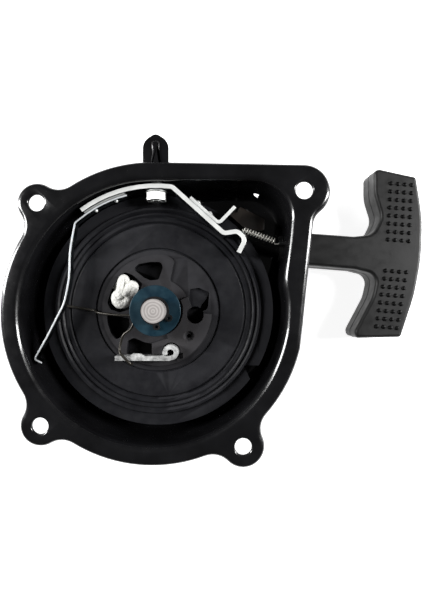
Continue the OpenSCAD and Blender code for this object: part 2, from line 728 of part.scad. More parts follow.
module lever_washer() {
    color([0.6, 0.6, 0.58]) translate([0, 51.3, pivot_z]) rotate([-90, 0, 0]) difference() {
        cylinder(h = 0.7, r = 4.7);
        translate([0, 0, -1]) cylinder(h = 3, r = bolt_r + 0.1);
    }
}

module lever_nut() {
    color([0.9, 0.9, 0.88]) translate([0, 47.8, pivot_z]) rotate([-90, 0, 0]) difference() {
        rotate(30) cylinder(h = 3.5, r = 4.62, $fn = 6);
        translate([0, 0, -1]) cylinder(h = 6, r = bolt_r);
    }
}

// Outer shape of the coil spring that pulls the hook end down
module return_spring() {
    color([0.6, 0.6, 0.56]) rod(spring_from, spring_to, coil_d / 2);
}

module spring_anchor_pin() {
    color([0.6, 0.6, 0.6]) translate([pin_x, pin_y, pin_z]) rotate([0, 90, 0]) {
        cylinder(h = 5, r = 0.95);
        translate([0, 0, 4.9]) cylinder(h = 1, r = 1.8);
    }
}

// ---- Handle ----

module handle_grip() {
    color([0.2, 0.2, 0.21]) on_pull_line() difference() {
        translate([0, 0, -grip_t / 2]) linear_extrude(grip_t) polygon(rounded(grip_outline));
        along_pull(-1, 50, rope_hole_r);
        along_pull(knot_pocket_u, 20, knot_pocket_r);
    }
}

module handle_washer() {
    color([0.7, 0.7, 0.7]) on_pull_line() difference() {
        along_pull(knot_pocket_u, 1, knot_pocket_r - 0.1);
        along_pull(knot_pocket_u - 1, 4, rope_hole_r);
    }
}

module handle_knot() {
    color([0.92, 0.92, 0.9]) on_pull_line() translate([knot_pocket_u + 1.1, 0, 0]) rotate([0, 90, 0])
        rotate_extrude() polygon(concat([[0, 0]], arc([1.2, 3], 3, -90, 90, 10), [[0, 6]]));
}

housing();
mounting_lugs();
center_shaft();
shaft_backing_washer();
reel_thrust_washer();
retaining_washer();
circlip();
reel();
reel_bush();
recoil_spring();
spring_cover();
spring_cover_rivets();
rope_wound();
rope_lead();
rope_knot();
rope_guide();
pawl();
friction_spring();
lock_lever();
lever_bracket();
lever_bracket_rivets();
leaf_spring();
leaf_clamp_plate();
leaf_spring_rivets();
lever_pivot_bolt();
lever_washer();
lever_nut();
return_spring();
spring_anchor_pin();
handle_grip();
handle_washer();
handle_knot();
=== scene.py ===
import json
import math
from itertools import product
import bpy
import bmesh
import numpy as np
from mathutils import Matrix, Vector

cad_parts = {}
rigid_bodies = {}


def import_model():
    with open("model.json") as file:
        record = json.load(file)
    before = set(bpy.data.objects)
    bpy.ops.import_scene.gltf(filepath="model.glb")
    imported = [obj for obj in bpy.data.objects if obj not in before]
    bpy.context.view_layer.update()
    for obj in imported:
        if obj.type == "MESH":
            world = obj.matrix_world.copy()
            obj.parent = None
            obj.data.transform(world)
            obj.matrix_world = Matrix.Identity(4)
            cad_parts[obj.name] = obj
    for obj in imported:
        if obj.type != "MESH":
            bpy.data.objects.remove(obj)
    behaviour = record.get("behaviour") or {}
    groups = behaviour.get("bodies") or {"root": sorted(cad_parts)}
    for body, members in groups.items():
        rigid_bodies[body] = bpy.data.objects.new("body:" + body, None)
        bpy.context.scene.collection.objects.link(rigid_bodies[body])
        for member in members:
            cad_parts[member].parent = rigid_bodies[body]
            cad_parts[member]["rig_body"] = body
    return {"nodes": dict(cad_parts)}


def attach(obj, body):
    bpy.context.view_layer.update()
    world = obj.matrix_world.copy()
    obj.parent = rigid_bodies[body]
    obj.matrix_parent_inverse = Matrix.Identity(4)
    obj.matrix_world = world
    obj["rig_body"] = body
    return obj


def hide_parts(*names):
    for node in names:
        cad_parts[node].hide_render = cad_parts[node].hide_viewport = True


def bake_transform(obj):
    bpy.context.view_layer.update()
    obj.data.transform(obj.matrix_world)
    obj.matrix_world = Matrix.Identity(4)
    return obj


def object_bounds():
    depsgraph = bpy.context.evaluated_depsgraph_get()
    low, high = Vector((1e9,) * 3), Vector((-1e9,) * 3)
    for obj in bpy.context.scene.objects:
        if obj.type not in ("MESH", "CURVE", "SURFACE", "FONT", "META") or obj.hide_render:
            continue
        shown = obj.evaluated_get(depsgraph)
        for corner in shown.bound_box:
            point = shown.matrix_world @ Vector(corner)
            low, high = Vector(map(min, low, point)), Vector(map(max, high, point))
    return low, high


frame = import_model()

CAD_BOX = [list(map(float, c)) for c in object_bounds()]
MM = 0.001
NODES = frame["nodes"]

# Sizes and places below are in mm, in the frame of the part: Z along the shaft, +Z to the engine
SHEET = 1.4

# Bowl: a round part and a smaller corner, with walls along their common tangents
BOWL_C = np.array([-1.0, -1.2])
BOWL_R = 56.2
CORNER_C = np.array([41.5, 39.0])
CORNER_R = 16.0
FLOOR_Z = -28.4
BOTTOM_R = 4.2
FOLD_R = 2.4
WALL_RINGS = (-20, -14, -8)
# Boss round the shaft, as (radius, height) from the inside and from the back
BOSS_FRONT = [(0.01, -25.2), (15, -25.2), (16.4, -25.5), (17.6, -26.6), (18.4, -27.8), (19.4, FLOOR_Z)]
BOSS_BACK = [(20.6, FLOOR_Z - SHEET), (18.6, FLOOR_Z - SHEET + 0.3), (17, -27.6), (16, -26.8),
             (14.6, -26.6), (0.01, -26.6)]
# Waist of the right wall and the bulge below it: angle, depth, and spread in degrees
WAIST_ANGLE, WAIST_DEPTH, WAIST_ABOVE, WAIST_BELOW = 14, 1.65, 12, 6
BULGE_ANGLE, BULGE_DEPTH, BULGE_SPREAD = -2, 0.45, 11

# Flange: a circle, a straight right edge and four lugs (x, y, outer radius, hole's radius)
FLANGE_R = 64.2
EDGE_R = 63.5
EDGE_ANGLE = -6.1
EDGE_END = 347
EDGE_BLEND = 8
LUG_BLEND = 9
LUGS = [(-49.5, 45.4, 8.5, 3.4), (63.0, 50.7, 11.1, 3.6), (-48.0, -48.3, 8.7, 3.4), (37.3, -57.0, 9.1, 3.5)]
TL, TR, BL, BR = LUGS
# Rolled rim of the flange: distance in from its edge, and height
RIM = [(2.2, 0), (1.7, -0.05), (1.15, -0.22), (0.65, -0.55), (0.28, -1.0), (0.07, -1.5), (0, -2.0), (0, -2.5),
       (0.12, -2.66), (1.0, -2.66), (1.12, -2.5), (1.2, -2.1), (1.45, -1.75), (1.9, -SHEET - 0.05),
       (2.4, -SHEET)]

# Openings in the wall and floor
GUIDE_HOLE_R = 4.25
BOLT_Z = -8
BOLT_HOLE_R = 2.6
PIN_Y = 30.2
PIN_HOLE_R = 1.05
DRAIN_C = (44.9, 55.4)
DRAIN_HALF = (1.8, 1)
DRAIN_ANGLE = math.radians(-29)
DRAIN_Z = (-30.4, -22.6)

# Tab behind the top edge
TAB_X = 0.4
TAB_HALF = 5.5
TAB_FOOT, TAB_SHOULDER, TAB_TIP = 58.4, 71.7, 75.1

# Return spring, from its hook on the lever to the pin
SPRING_Z = -10.0
SPRING_START = np.array([38.9, 35.2, SPRING_Z])
SPRING_END = np.array([52.9, 30.3, SPRING_Z])
SPRING_R = 1.15

# Rope, and the line of the pull from the guide through the grip
ROPE_Z = -20.6
ROPE_R = 2.2
WIND_R = 42.2
PULL = math.radians(-4.5)
PULL_O = np.array([59.5, 28.1])
PULL_D = np.array([math.cos(PULL), math.sin(PULL)])
PULL_N = np.array([-math.sin(PULL), math.cos(PULL)])

# Grip, measured along the pull, across it and through it
GRIP_HALF = 37.5
STEM_HALF = 7.3
GRIP_TOP = 7.8
KNOT_U = 52.0
PIP_RINGS = ((1.05, -0.5), (1.0, 0.1), (0.8, 0.42), (0.4, 0.6))
PIP_ROWS, PIP_COLS = 8, 4
PIP_ROW_GAP, PIP_COL_GAP = 3.6, 3.1


# ---- Small geometry helpers ----

def unit(v):
    v = np.asarray(v, float)
    return v / np.linalg.norm(v)


def heading(v):
    return math.degrees(math.atan2(v[1], v[0]))


def past(a, b):
    """The angle a with whole turns added, so that it comes after b."""
    return a + 360 * math.ceil((b - a) / 360)


def arc(c, r, a0, a1, n):
    """n + 1 points on a circle, from angle a0 to a1 in degrees."""
    t = np.radians(np.linspace(a0, a1, n + 1))
    return [np.array([c[0] + r * math.cos(a), c[1] + r * math.sin(a)]) for a in t]


def rounded(points, step):
    """Points (x, y, radius) to a closed outline whose corners are arcs in steps of about step degrees."""
    out = []
    n = len(points)
    for i, p in enumerate(points):
        if p[2] == 0:
            out.append(np.array(p[:2], float))
            continue
        a, b, c = (np.array(points[(i + k) % n][:2], float) for k in (-1, 0, 1))
        u, v = unit(a - b), unit(c - b)
        half = math.acos(np.clip(u @ v, -1, 1)) / 2
        leg = min(p[2] / math.tan(half), 0.48 * np.linalg.norm(a - b), 0.48 * np.linalg.norm(c - b))
        r = leg * math.tan(half)
        m = b + unit(u + v) * r / math.sin(half)
        s, e = b + u * leg - m, b + v * leg - m
        d = (heading(e) - heading(s) + 540) % 360 - 180
        out += arc(m, r, heading(s), heading(s) + d, max(2, math.ceil(abs(d) / step)))
    return out


def spline(points, n):
    """A smooth curve through points, n steps a span."""
    p = [np.array(q, float) for q in points]
    p = [2 * p[0] - p[1]] + p + [2 * p[-1] - p[-2]]
    out = []
    for i in range(1, len(p) - 2):
        for k in range(n):
            t = k / n
            out.append(0.5 * (2 * p[i] + (p[i + 1] - p[i - 1]) * t
                              + (2 * p[i - 1] - 5 * p[i] + 4 * p[i + 1] - p[i + 2]) * t ** 2
                              + (3 * p[i] - p[i - 1] - 3 * p[i + 1] + p[i + 2]) * t ** 3))
    return out + [p[-2]]


def raw(name, verts, faces, uv=None):
    """A mesh object from vertices in mm."""
    data = bpy.data.meshes.new(name)
    data.from_pydata([tuple(float(c) * MM for c in v) for v in verts], [], faces)
    if uv is not None:
        layer = data.uv_layers.new(name="UVMap")
        for loop in data.loops:
            layer.data[loop.index].uv = uv[loop.vertex_index]
    obj = bpy.data.objects.new(name, data)
    bpy.context.scene.collection.objects.link(obj)
    bm = bmesh.new()
    bm.from_mesh(data)
    bmesh.ops.remove_doubles(bm, verts=bm.verts, dist=1e-6)
    bmesh.ops.recalc_face_normals(bm, faces=bm.faces)
    bm.to_mesh(data)
    bm.free()
    return obj


def make(name, verts, faces, mat, body, smooth=True, uv=None, sharp=35):
    """A piece of the visual model, riding on a body."""
    obj = raw(name, verts, faces, uv)
    shade(obj, smooth, sharp)
    obj.data.materials.append(mat)
    if body:
        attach(obj, body)
    return obj


def shade(obj, smooth, sharp):
    """Smooth shading, except over edges sharper than an angle in degrees."""
    for p in obj.data.polygons:
        p.use_smooth = smooth
    if smooth:
        obj.data.set_sharp_from_angle(angle=math.radians(sharp))


def modify(obj, kind, **values):
    m = obj.modifiers.new(kind.title(), kind)
    for key, value in values.items():
        setattr(m, key, value)


def apply_all(obj):
    """Bakes the modifiers of obj into its mesh."""
    bpy.context.view_layer.update()
    graph = bpy.context.evaluated_depsgraph_get()
    mesh = bpy.data.meshes.new_from_object(obj.evaluated_get(graph))
    obj.modifiers.clear()
    obj.data = mesh


def cut(obj, tools):
    """Takes the meshes in tools out of obj."""
    for tool in tools:
        modify(obj, "BOOLEAN", operation="DIFFERENCE", solver="EXACT", object=tool)
        apply_all(obj)
        bpy.data.objects.remove(tool)


def rod_tool(p, q, r, n=40):
    """A plain cylinder from p to q for cutting."""
    v, f, _ = tube([p, q], r, n)
    return raw("tool", v, f)


def tube(path, r, sides):
    """Vertices, faces and (along, round) of a closed tube about a path; r is a number or one a point."""
    path = [np.array(p, float) for p in path]
    n = len(path)
    radius = r if hasattr(r, "__len__") else [r] * n
    length = 0.0
    side = None
    verts, uv = [], []
    for i in range(n):
        t = unit(path[min(i + 1, n - 1)] - path[max(i - 1, 0)])
        if side is None:
            side = unit(np.cross(t, [0, 0, 1] if abs(t[2]) < 0.9 else [1, 0, 0]))
        side = unit(side - (side @ t) * t)
        other = np.cross(t, side)
        length += np.linalg.norm(path[i] - path[i - 1]) if i else 0
        for k in range(sides):
            a = 2 * math.pi * k / sides
            verts.append(path[i] + radius[i] * (math.cos(a) * side + math.sin(a) * other))
            uv.append((length, k / sides))
    return verts, quads(n, sides) + caps(n, sides), uv


def wire(name, path, r, mat, body, sides):
    v, f, uv = tube(path, r, sides)
    return make(name, v, f, mat, body, uv=uv, sharp=60)


def quads(rings, n):
    """Faces between rings of n points each."""
    return [(i * n + k, i * n + (k + 1) % n, (i + 1) * n + (k + 1) % n, (i + 1) * n + k)
            for i in range(rings - 1) for k in range(n)]


def caps(rings, n):
    """Faces over the first and the last ring."""
    return [tuple(range(n))[::-1], tuple((rings - 1) * n + k for k in range(n))]


def loft(rings, ends=True):
    """Vertices and faces through rings of equal count."""
    count, n = len(rings), len(rings[0])
    verts = [p for ring in rings for p in ring]
    return verts, quads(count, n) + (caps(count, n) if ends else [])


def stack(outline, heights):
    """A closed loft of an outline in mm at several heights."""
    return loft([[(*p, z) for p in outline] for z in heights])


def round_edges(obj, width, segments=2, angle=30):
    """Rounds the edges of obj that turn by more than an angle in degrees."""
    modify(obj, "BEVEL", width=width * MM, segments=segments, limit_method="ANGLE",
           angle_limit=math.radians(angle), use_clamp_overlap=True, harden_normals=False)
    apply_all(obj)
    shade(obj, True, 50)
    modify(obj, "WEIGHTED_NORMAL", keep_sharp=True)
    apply_all(obj)


def softened(node, name, mat, width, segments=2, angle=30):
    """A copy of a CAD node with its edges rounded, standing for it."""
    source = NODES[node]
    data = source.data.copy()
    obj = bpy.data.objects.new(name, data)
    bpy.context.scene.collection.objects.link(obj)
    bm = bmesh.new()
    bm.from_mesh(data)
    bmesh.ops.remove_doubles(bm, verts=bm.verts, dist=2e-6)
    bmesh.ops.dissolve_limit(bm, angle_limit=math.radians(0.6), verts=bm.verts, edges=bm.edges)
    bm.to_mesh(data)
    bm.free()
    data.materials.clear()
    data.materials.append(mat)
    round_edges(obj, width, segments, angle)
    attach(obj, source["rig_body"])
    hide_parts(node)
    return obj


def dark_sides(obj, mat):
    """Gives the faces that stand upright the material mat, a darker copy as painted shade, while the edges on
    top stay bright.
    """
    obj.data.materials.append(mat)
    for p in obj.data.polygons:
        if abs(p.normal.z) < 0.6:
            p.material_index = 1


def on_pull(u, v=0.0, z=0.0):
    """The point u along the pull, v across it and z above it."""
    p = PULL_O + u * PULL_D + v * PULL_N
    return np.array([p[0], p[1], ROPE_Z + z])


# ---- Materials ----

class Look:
    """A node material about one principled shader."""

    def __init__(self, name, color, rough, metal=0.0, **inputs):
        self.mat = bpy.data.materials.new(name)
        self.mat.use_nodes = True
        self.tree = self.mat.node_tree
        self.shader = self.tree.nodes["Principled BSDF"]
        self.color = color
        self.set("Base Color", (*color, 1))
        self.set("Roughness", rough)
        self.set("Metallic", metal)
        for key, value in inputs.items():
            self.set(key.replace("_", " "), value)
        self.coord = self.node("TexCoord").outputs["Object"]
        self.height = None

    def set(self, key, value):
        self.shader.inputs[key].default_value = value

    def node(self, kind, **values):
        n = self.tree.nodes.new("ShaderNode" + kind)
        for key, value in values.items():
            if key in n.inputs:
                n.inputs[key].default_value = value
            else:
                setattr(n, key, value)
        return n

    def link(self, a, b):
        self.tree.links.new(a, b)

    def noise(self, scale, detail=3, rough=0.5, stretch=(1, 1, 1)):
        mapping = self.node("Mapping", Scale=stretch)
        self.link(self.coord, mapping.inputs["Vector"])
        n = self.node("TexNoise", Scale=scale, Detail=detail, Roughness=rough)
        self.link(mapping.outputs[0], n.inputs["Vector"])
        return n.outputs["Fac"]

    def ramp(self, fac, low, high, a, b):
        """a below low, b above high, for colours or numbers."""
        r = self.node("ValToRGB")
        r.color_ramp.elements[0].position = low
        r.color_ramp.elements[1].position = high
        for e, c in zip(r.color_ramp.elements, (a, b)):
            e.color = (*c, 1) if hasattr(c, "__len__") else (c, c, c, 1)
        self.link(fac, r.inputs["Fac"])
        return r.outputs["Color"]

    def math(self, op, a, b=0.0):
        m = self.node("Math", operation=op)
        for i, v in enumerate((a, b)):
            if isinstance(v, (int, float)):
                m.inputs[i].default_value = v
            else:
                self.link(v, m.inputs[i])
        return m.outputs[0]

    def mix(self, fac, a, b):
        m = self.node("Mix", data_type="RGBA")
        for i, v in ((0, fac), (6, a), (7, b)):
            if hasattr(v, "is_output"):
                self.link(v, m.inputs[i])
            else:
                m.inputs[i].default_value = (*v, 1) if hasattr(v, "__len__") else v
        return m.outputs[2]

    def paint(self, fac, low, high, a, b):
        """The base colour, from a where fac is below low to b where it is above high."""
        self.link(self.ramp(fac, low, high, a, b), self.shader.inputs["Base Color"])

    def gloss(self, fac, low, high, a, b):
        """The roughness, in the same way."""
        self.link(self.ramp(fac, low, high, a, b), self.shader.inputs["Roughness"])

    def bump(self, height, strength, distance):
        """Bumps on top of those laid before; distance is in mm."""
        b = self.node("Bump", Strength=strength, Distance=distance * MM)
        self.link(height, b.inputs["Height"])
        if self.height is not None:
            self.link(self.height, b.inputs["Normal"])
        self.height = b.outputs["Normal"]
        self.link(self.height, self.shader.inputs["Normal"])

    def edge_highlight(self, color, amount):
        """Painted highlight: a lighter colour on edges that stick out, from the surface's own shape."""
        g = self.node("NewGeometry")
        edge = self.ramp(g.outputs["Pointiness"], 0.52, 0.6, 0.0, amount)
        base = self.shader.inputs["Base Color"]
        under = base.links[0].from_socket if base.links else self.color
        self.link(self.mix(edge, under, color), base)


def black_paint():
    m = Look("black_paint", (0.0045, 0.0045, 0.005), 0.2, 0.0, Coat_Weight=0.5, Coat_Roughness=0.04)
    m.paint(m.noise(60, 4), 0.35, 0.7, (0.0035, 0.0035, 0.004), (0.008, 0.008, 0.009))
    m.gloss(m.noise(140, 5, 0.6), 0.3, 0.75, 0.16, 0.3)
    m.bump(m.noise(420, 2), 0.08, 0.04)
    m.bump(m.noise(35, 2), 0.2, 0.1)
    return m.mat


def shelf_paint():
    m = Look("shelf_paint", (0.03, 0.024, 0.02), 0.38, 0.0, Coat_Weight=0.3, Coat_Roughness=0.2)
    m.paint(m.noise(90, 4), 0.35, 0.7, (0.014, 0.011, 0.009), (0.035, 0.028, 0.023))
    m.bump(m.noise(600, 2), 0.15, 0.05)
    return m.mat


def bare_metal(name, color, rough, spots=80, bump=0.1, metal=1.0, grain=None):
    """Gloss and fine bumps of metal, with scratches along one way if grain is given."""
    m = Look(name, color, rough, metal)
    m.gloss(m.noise(spots * 3, 4), 0.3, 0.7, rough * 0.8, min(1, rough * 1.35))
    if grain:
        m.bump(m.noise(900, 2, 0.5, grain), 0.25, 0.03)
    m.bump(m.noise(700, 3), bump, 0.04)
    return m


def steel(name, color, rough, dark=0.7, spots=80, **finish):
    """Bare or plated metal, mottled between its colour and dark times that."""
    m = bare_metal(name, color, rough, spots, **finish)
    m.paint(m.noise(spots, 5, 0.6), 0.32, 0.7, tuple(dark * c for c in color), color)
    return m.mat


def turned_steel():
    m = bare_metal("turned_steel", (0.50, 0.47, 0.455), 0.5, 60, metal=0.35)
    wave = m.node("TexWave", wave_type="RINGS", rings_direction="Z", Scale=260, Distortion=1.5)
    m.link(m.coord, wave.inputs["Vector"])
    rings = m.mix(wave.outputs["Fac"], (0.38, 0.35, 0.34), (0.56, 0.53, 0.51))
    m.link(rings, m.shader.inputs["Base Color"])
    m.bump(wave.outputs["Fac"], 0.25, 0.03)
    return m.mat


def blued_steel():
    m = bare_metal("blued_steel", (0.03, 0.085, 0.115), 0.42, 60, 0.06, 0.3)
    m.paint(m.noise(90, 4, 0.6), 0.3, 0.72, (0.004, 0.019, 0.034), (0.011, 0.049, 0.072))
    return m.mat


def reel_plastic():
    m = Look("reel_plastic", (0.012, 0.012, 0.014), 0.42)
    grime = m.ramp(m.noise(110, 5, 0.65), 0.3, 0.72, (0.008, 0.008, 0.010), (0.017, 0.0175, 0.020))
    place = m.node("SeparateXYZ")
    m.link(m.coord, place.inputs[0])
    # the depth is in units of 100 mm, to fit a ramp: the hub's raised face is paler, and the deep pockets
    # get painted shade, darker and with less reflection
    depth = m.math("MULTIPLY", place.outputs[2], -10)
    face = m.ramp(depth, 0.105, 0.131, 1.0, 0.0)
    # painted shade: below the hub's face the colour darkens and the reflection drops
    floor = m.ramp(depth, 0.148, 0.162, 0.0, 1.0)
    upper = m.mix(face, grime, (0.040, 0.038, 0.040))
    m.link(m.mix(floor, upper, (0.003, 0.003, 0.003)), m.shader.inputs["Base Color"])
    m.link(m.mix(floor, (0.2, 0.2, 0.2), (0.06, 0.06, 0.06)), m.shader.inputs["Specular IOR Level"])
    m.gloss(m.noise(260, 4), 0.3, 0.7, 0.32, 0.55)
    m.bump(m.noise(1400, 2), 0.18, 0.04)
    m.bump(m.noise(60, 2), 0.25, 0.2)
    # painted highlight along the edges of the hub's pockets and rims
    m.edge_highlight((0.045, 0.045, 0.05), 0.35)
    return m.mat


def grip_plastic(name, shade, specular):
    m = Look(name, (shade,) * 3, 0.42, 0.0, Specular_IOR_Level=specular)
    m.paint(m.noise(80, 5, 0.6), 0.3, 0.7, (0.8 * shade,) * 3, (1.25 * shade,) * 3)
    m.gloss(m.noise(300, 4), 0.3, 0.7, 0.34, 0.5)
    m.bump(m.noise(1600, 3, 0.6), 0.3, 0.05)
    m.bump(m.noise(45, 2), 0.3, 0.25)
    return m.mat


def rope_look(name, straight=False):
    """Braided cord: two families of strands that cross, as bumps, with painted shade in the gaps between
    them.

    The strands follow the UV map, or the pull's line for the straight run that stretches.
    """
    strands_along, strands_round = 0.55, 6
    m = Look(name, (0.86, 0.86, 0.82), 0.62, 0.0, Sheen_Weight=0.4, Sheen_Roughness=0.5)
    if straight:
        sep = m.node("SeparateXYZ")
        rot = m.node("VectorRotate", rotation_type="Z_AXIS")
        rot.inputs["Center"].default_value = (PULL_O[0] * MM, PULL_O[1] * MM, ROPE_Z * MM)
        rot.inputs["Angle"].default_value = -PULL
        m.link(m.coord, rot.inputs["Vector"])
        m.link(rot.outputs[0], sep.inputs[0])
        along = m.math("MULTIPLY", sep.outputs[0], 1 / MM)
        y = m.math("SUBTRACT", sep.outputs[1], PULL_O[1] * MM)
        z = m.math("SUBTRACT", sep.outputs[2], ROPE_Z * MM)
        turn = m.math("DIVIDE", m.math("ARCTAN2", z, y), 2 * math.pi)
    else:
        uv = m.node("UVMap")
        sep = m.node("SeparateXYZ")
        m.link(uv.outputs[0], sep.inputs[0])
        along, turn = sep.outputs[0], sep.outputs[1]
    a = m.math("MULTIPLY", along, strands_along)
    b = m.math("MULTIPLY", turn, strands_round)
    s1 = m.math("ABSOLUTE", m.math("SINE", m.math("MULTIPLY", m.math("ADD", a, b), math.pi)))
    s2 = m.math("ABSOLUTE", m.math("SINE", m.math("MULTIPLY", m.math("SUBTRACT", a, b), math.pi)))
    weave = m.math("MULTIPLY", s1, s2)
    fuzz = m.noise(2500, 2)
    # painted shade: the gaps between strands are darker
    m.link(m.mix(m.ramp(weave, 0.0, 0.35, 0.0, 1.0), (0.66, 0.65, 0.6), (0.86, 0.86, 0.82)),
           m.shader.inputs["Base Color"])
    m.bump(m.math("ADD", weave, m.math("MULTIPLY", fuzz, 0.25)), 0.5, 0.25)
    return m.mat


def all_looks():
    return {
        "black": black_paint(),
        "shelf": shelf_paint(),
        "shaft": turned_steel(),
        "zinc": steel("bright_zinc", (0.92, 0.93, 0.91), 0.42, 0.88, metal=0.35),
        "pawl": steel("pawl_zinc", (0.95, 0.96, 0.95), 0.38, 0.25, 420, bump=0.25, metal=0.4),
        "dull": steel("zinc_plate", (0.40, 0.41, 0.40), 0.5, metal=0.5),
        "blue": blued_steel(),
        "clip": steel("black_spring_steel", (0.035, 0.035, 0.037), 0.35, 0.5, metal=0.6),
        "spring": steel("spring_wire", (0.8, 0.78, 0.72), 0.3, metal=0.5),
        "drag": steel("dark_spring_wire", (0.055, 0.05, 0.042), 0.35, 0.6, metal=0.6),
        "tempered": steel("dark_spring_steel", (0.26, 0.28, 0.33), 0.35, 0.6),
        "leaf": steel("spring_strip", (0.8, 0.83, 0.85), 0.34, 0.85, metal=0.45, grain=(1, 1, 0.08)),
        # painted shade: a darker, bluish copy of the plated steel for the upright sides of strips
        "plate_side": steel("steel_side_painted_shade", (0.20, 0.24, 0.25), 0.16, spots=60, bump=0.04),
        "bronze": steel("sintered_bronze", (0.5, 0.38, 0.22), 0.45, 0.6),
        "reel": reel_plastic(),
        "grip": grip_plastic("grip_plastic", 0.012, 0.32),
        # painted shade: the pips are darker and reflect less than the grip, for the dark reflections they
        # catch
        "pip": grip_plastic("grip_plastic_pips_painted_dark", 0.002, 0.12),
        "rope": rope_look("rope_braid"),
        "rope_lead": rope_look("rope_braid_straight", True),
    }


K = all_looks()


# ---- Camera, floor and light ----

def studio():
    scene = bpy.context.scene
    cam = bpy.data.cameras.new("camera")
    cam.lens = 25.8
    cam.sensor_width = 36
    cam.clip_start = 0.005
    eye = bpy.data.objects.new("camera", cam)
    eye.location = (0.0242, 0.0046, 0.180)
    scene.collection.objects.link(eye)
    scene.camera = eye
    scene.view_settings.view_transform = "Standard"
    world = bpy.data.worlds.new("world")
    world.use_nodes = True
    sky = world.node_tree.nodes["Background"]
    sky.inputs["Color"].default_value = (1, 1, 1, 1)
    sky.inputs["Strength"].default_value = 0.042
    scene.world = world

    def area(name, at, size, power):
        light = bpy.data.lights.new(name, "AREA")
        light.shape = "RECTANGLE"
        light.size, light.size_y = size
        light.energy = power
        obj = bpy.data.objects.new(name, light)
        obj.location = at
        obj.rotation_euler = (Vector((0.01, 0, -0.01)) - Vector(at)).to_track_quat("-Z", "Y").to_euler()
        scene.collection.objects.link(obj)

    area("left", (-0.62, 0.14, 0.30), (0.17, 0.5), 8)
    area("right", (0.62, 0.10, 0.30), (0.13, 0.5), 7)

    floor_mat = Look("floor", (0.93, 0.93, 0.93), 0.9)
    floor_mat.paint(floor_mat.noise(4, 2), 0.2, 0.9, (0.92, 0.92, 0.92), (0.95, 0.95, 0.95))
    floor_mat.set("Emission Color", (1, 1, 1, 1))
    floor_mat.set("Emission Strength", 0.9)
    half = 2000
    low = CAD_BOX[0][2] / MM - 0.2
    corners = [(-half, -half, low), (half, -half, low), (half, half, low), (-half, half, low)]
    floor = make("floor", corners, [(0, 1, 2, 3)], floor_mat.mat, None, smooth=False)


studio()


# ---- Cover ----

def blend_c(lug, s):
    """Centre of the hollow blend before (s = -1) or after (s = 1) a lug."""
    v = np.array(lug[:2]) - BOWL_C
    d1, d2 = FLANGE_R + LUG_BLEND, lug[2] + LUG_BLEND
    q = math.degrees(math.acos((d1 * d1 + v @ v - d2 * d2) / (2 * d1 * np.linalg.norm(v))))
    a = math.radians(heading(v) + s * q)
    return BOWL_C + d1 * np.array([math.cos(a), math.sin(a)])


def lug_edge(lug):
    """The edge round a lug, with the hollow blends at both sides."""
    c = np.array(lug[:2])
    f1, f2 = blend_c(lug, -1), blend_c(lug, 1)
    b1 = heading(BOWL_C - f1)
    e1 = past(heading(c - f1), b1 - 360)
    l1 = heading(f1 - c)
    l2 = past(heading(f2 - c), l1)
    b2 = heading(c - f2)
    e2 = past(heading(BOWL_C - f2), b2 - 360)
    return arc(f1, LUG_BLEND, b1, e1, 8) + arc(c, lug[2], l1, l2, 28) + arc(f2, LUG_BLEND, b2, e2, 8)


def flange_outline():
    """The flange's edge with its four lugs, anticlockwise."""
    # the blend between the straight edge and the top right lug has its centre at f
    n = np.array([math.cos(math.radians(EDGE_ANGLE)), math.sin(math.radians(EDGE_ANGLE))])
    s = np.array([-n[1], n[0]])
    c = np.array(TR[:2])
    d = BOWL_C + n * (EDGE_R + EDGE_BLEND) - c
    reach = TR[2] + EDGE_BLEND
    t = -d @ s - math.sqrt((d @ s) ** 2 - d @ d + reach * reach)
    f = c + d + s * t
    e = past(heading(c - f), EDGE_ANGLE - 180)
    l1 = heading(f - c)
    v = c - BOWL_C
    top = heading(v) + math.degrees(math.acos((FLANGE_R - TR[2]) / np.linalg.norm(v)))

    def ring(a0, a1):
        return arc(BOWL_C, FLANGE_R, a0, a1, math.ceil((a1 - a0) / 3))

    def at(lug, s):
        return heading(blend_c(lug, s) - BOWL_C)

    out = arc(f, EDGE_BLEND, EDGE_ANGLE + 180, e, 8) + arc(c, TR[2], l1, past(top, l1), 30)
    out += ring(top, at(TL, -1)) + lug_edge(TL)
    out += ring(at(TL, 1), past(at(BL, -1), 0)) + lug_edge(BL)
    out += ring(past(at(BL, 1), 0), past(at(BR, -1), 0)) + lug_edge(BR)
    out += ring(past(at(BR, 1), 0), EDGE_END)
    # straight stretches get points too, so that the wall inside them can curve
    keep = [out[0]]
    for p in out[1:] + out[:1]:
        start = keep[-1]
        steps = math.ceil((np.linalg.norm(p - start) - 0.02) / 3)
        keep += [start + (p - start) * i / steps for i in range(1, steps + 1)]
    return keep[:-1]


def bowl_radius(a, grow):
    """Distance from the bowl's centre to its wall in direction a, for a bowl made larger by grow."""
    u = np.array([math.cos(a), math.sin(a)])
    t = np.linspace(0, 1, 160)
    c = np.outer(t, CORNER_C - BOWL_C)
    r = BOWL_R + t * (CORNER_R - BOWL_R) + grow
    turn = math.degrees(a) - WAIST_ANGLE
    waist = WAIST_DEPTH * math.exp(-(turn / (WAIST_ABOVE if turn > 0 else WAIST_BELOW)) ** 2)
    bulge = BULGE_DEPTH * math.exp(-((math.degrees(a) - BULGE_ANGLE) / BULGE_SPREAD) ** 2)
    r = r - waist + bulge
    along = c @ u
    gap = r * r - ((c * c).sum(1) - along ** 2)
    return float(np.max(np.where(gap > 0, along + np.sqrt(np.maximum(gap, 0)), 0)))


def inset(outline, d):
    """An anticlockwise outline drawn in by d."""
    out = []
    n = len(outline)
    for i, p in enumerate(outline):
        t = unit(outline[(i + 1) % n] - outline[i - 1])
        out.append(p + d * np.array([-t[1], t[0]]))
    return out


def bolt_hole_tool(x, y, _, r):
    """A hole through a lug, with its upper edge drawn in a little."""
    profile = [(r, -4), (r, -0.75), (r + 0.12, -0.4), (r + 0.38, -0.12), (r + 0.8, 0.02), (r + 0.8, 1)]
    v, f = loft([[(*p, z) for p in arc((x, y), q, 0, 360, 48)[:-1]] for q, z in profile])
    return raw("tool", v, f)


